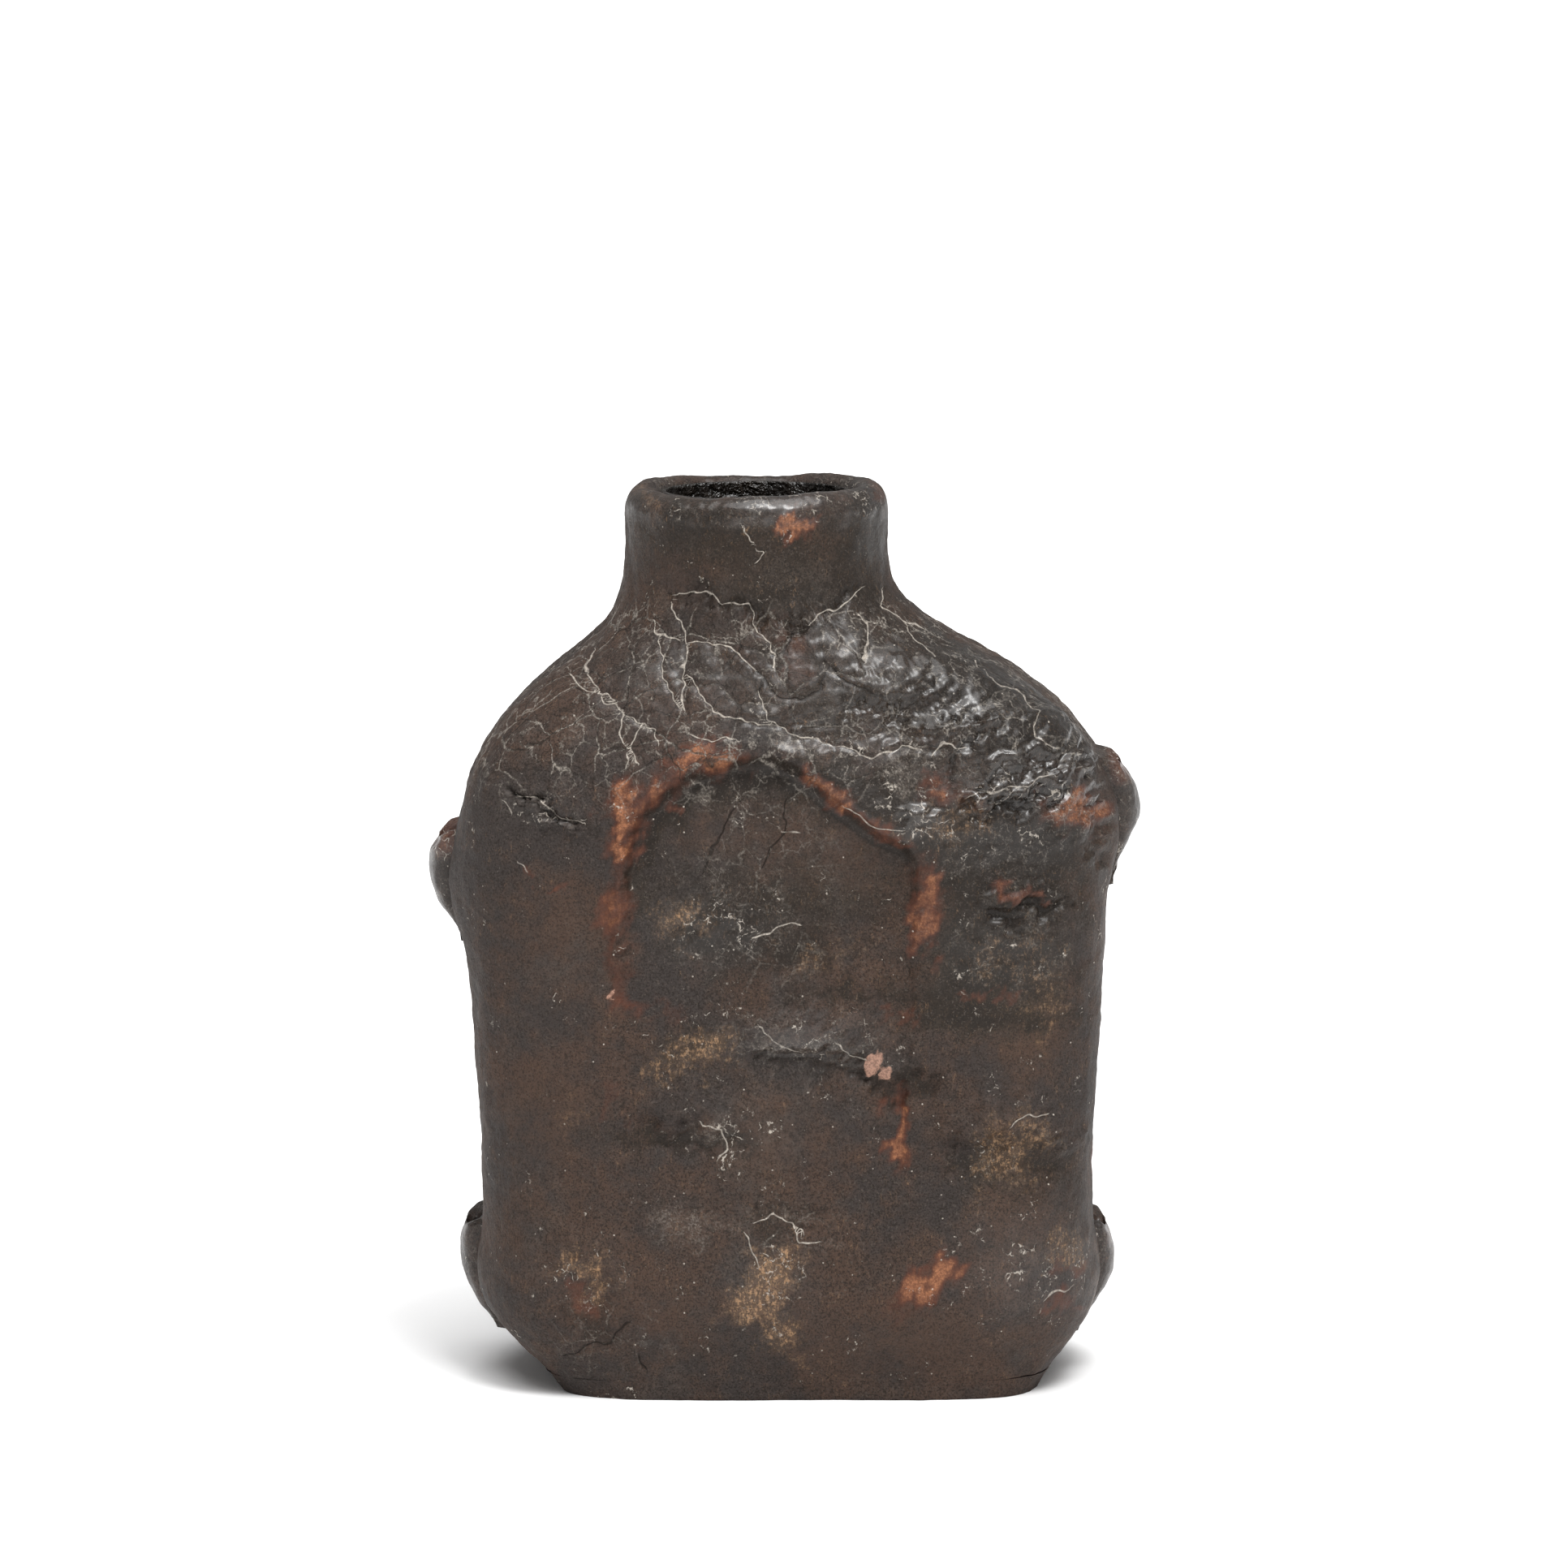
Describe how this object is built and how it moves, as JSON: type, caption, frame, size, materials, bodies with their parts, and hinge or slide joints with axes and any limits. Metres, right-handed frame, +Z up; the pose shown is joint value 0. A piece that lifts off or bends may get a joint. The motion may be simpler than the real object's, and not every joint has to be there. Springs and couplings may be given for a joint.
{
  "type": "pilgrim flask",
  "caption": "Moulded leather pilgrim flask with flat base, short wide neck, rolled mouth and side lugs for a carrying cord, lined with pitch.",
  "frame": {"origin": "on the floor under the middle of the flask's overall width and depth", "axes": "+Z up through the mouth, -Y out of the front with the arched panel, +X to the right of someone who faces the front"},
  "size_m": [0.1896, 0.0979, 0.24],
  "materials": {
    "leather": "satin, worn and crackled",
    "pitch": "glossy",
    "thread": "waxed"
  },
  "bodies": {
    "root": {"front_panel": "leather", "back_panel": "leather", "left_gusset": "leather", "right_gusset": "leather", "base_panel": "leather", "neck_tube": "leather", "mouth_rim": "leather", "upper_left_lug": "leather", "upper_right_lug": "leather", "lower_left_lug": "leather", "lower_right_lug": "leather", "pitch_lining": "pitch", "left_front_seam_stitches": "thread", "left_back_seam_stitches": "thread", "right_front_seam_stitches": "thread", "right_back_seam_stitches": "thread", "base_seam_stitches": "thread", "neck_seam_stitches": "thread", "rim_stitches": "thread", "upper_left_lug_stitches": "thread", "lower_left_lug_stitches": "thread", "upper_right_lug_stitches": "thread", "lower_right_lug_stitches": "thread"}
  },
  "joints": []
}
